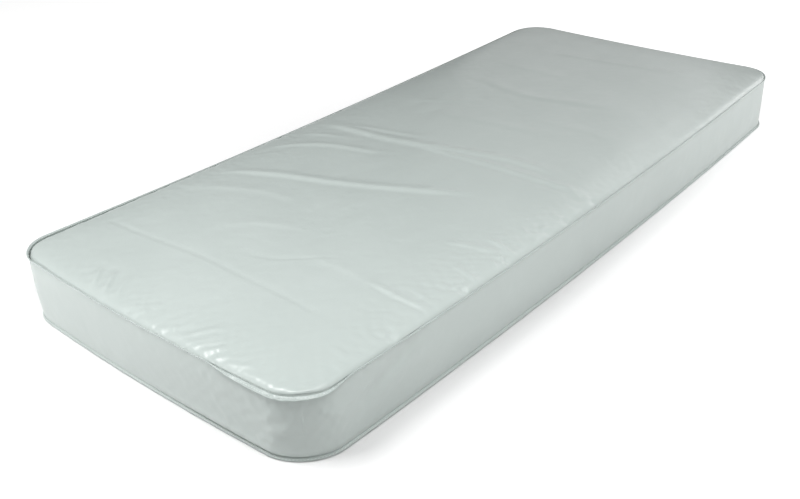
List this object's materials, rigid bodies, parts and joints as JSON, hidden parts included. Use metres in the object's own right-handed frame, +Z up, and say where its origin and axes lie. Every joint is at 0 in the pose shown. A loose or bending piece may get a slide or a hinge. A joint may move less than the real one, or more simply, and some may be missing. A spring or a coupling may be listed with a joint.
{
  "type": "pressure relief mattress",
  "caption": "Static foam pressure relief mattress in a welted, coated cover, with a core in hinged back, seat and leg sections and a zip at the head end.",
  "frame": {"origin": "middle of the underside, on the surface that the mattress lies on", "axes": "+X towards the head end along the length, +Y across the width, +Z up through the thickness"},
  "size_m": [2.032, 0.889, 0.1524],
  "materials": {
    "cover_fabric": "satin",
    "edge_tape": "satin",
    "sock_knit": "matte",
    "base_foam": "matte",
    "comfort_foam": "matte",
    "heel_foam": "matte",
    "bolster_foam": "matte",
    "zip_tape": "matte",
    "zip_coil": "satin",
    "zip_metal": "satin",
    "label_cloth": "satin"
  },
  "bodies": {
    "seat_section": {"cover_top_panel": "cover_fabric", "cover_border": "cover_fabric", "cover_bottom_panel": "cover_fabric", "top_edge_welt": "edge_tape", "bottom_edge_welt": "edge_tape", "fire_barrier_sock": "sock_knit", "base_foam_seat": "base_foam", "comfort_foam_seat": "comfort_foam", "left_bolster_seat": "bolster_foam", "right_bolster_seat": "bolster_foam"},
    "back_section": {"base_foam_back": "base_foam", "comfort_foam_back": "comfort_foam", "left_bolster_back": "bolster_foam", "right_bolster_back": "bolster_foam", "head_end_bolster": "bolster_foam", "zip_tape_upper": "zip_tape", "zip_tape_lower": "zip_tape", "zip_coil_upper": "zip_coil", "zip_coil_lower": "zip_coil", "zip_end_stops": "zip_metal", "zip_guard": "cover_fabric", "care_label": "label_cloth"},
    "leg_section": {"base_foam_leg": "base_foam", "comfort_foam_leg": "comfort_foam", "heel_foam": "heel_foam", "left_bolster_leg": "bolster_foam", "right_bolster_leg": "bolster_foam", "foot_end_bolster": "bolster_foam"},
    "zip_slider": {"zip_slider": "zip_metal"},
    "zip_pull": {"zip_pull": "zip_metal"}
  },
  "joints": [
    {"name": "back_section_raise", "type": "hinge", "parent": "seat_section", "child": "back_section", "pos_m": [0.216, 0, 0.1504], "axis": [0, -1, 0], "range_deg": [0, 65], "deforming": ["cover_top_panel", "cover_border", "cover_bottom_panel", "top_edge_welt", "bottom_edge_welt", "fire_barrier_sock"]},
    {"name": "leg_section_raise", "type": "hinge", "parent": "seat_section", "child": "leg_section", "pos_m": [-0.366, 0, 0.1504], "axis": [0, 1, 0], "range_deg": [0, 30], "deforming": ["cover_top_panel", "cover_border", "cover_bottom_panel", "top_edge_welt", "bottom_edge_welt", "fire_barrier_sock"]},
    {"name": "zip_slide", "type": "slide", "parent": "back_section", "child": "zip_slider", "axis": [0, -1, 0], "range_m": [0, 0.6]},
    {"name": "zip_pull_swing", "type": "hinge", "parent": "zip_slider", "child": "zip_pull", "pos_m": [1.0133, 0.302, 0.062], "axis": [0, 0, 1], "range_deg": [0, 170]}
  ]
}
